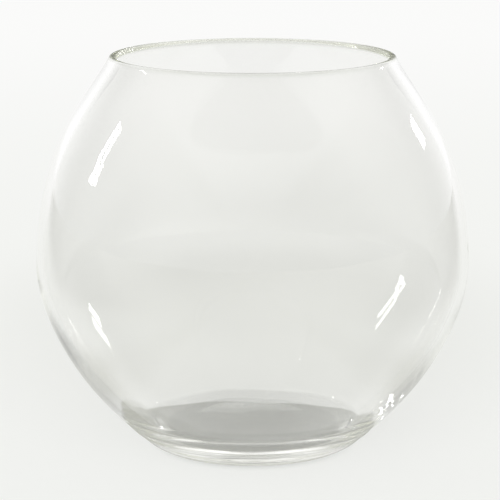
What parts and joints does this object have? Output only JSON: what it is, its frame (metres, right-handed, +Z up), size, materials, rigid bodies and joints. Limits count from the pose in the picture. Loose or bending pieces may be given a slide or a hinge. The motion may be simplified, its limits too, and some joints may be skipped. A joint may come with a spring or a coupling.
{
  "type": "rose bowl vase",
  "caption": "Round clear glass rose bowl with a wide open mouth, a rounded fire-polished lip and a thick base on a flat foot ring; holds water and cut flowers.",
  "frame": {"origin": "middle of the foot, on the plane that the bowl stands on", "axes": "+Z up along the axis of the bowl; X and Y are any two level directions, because the bowl is round"},
  "size_m": [0.2, 0.2, 0.183],
  "materials": {
    "clear_glass": "blown and fire-polished, clear"
  },
  "bodies": {
    "root": {"glass_bowl": "clear_glass"}
  },
  "joints": []
}
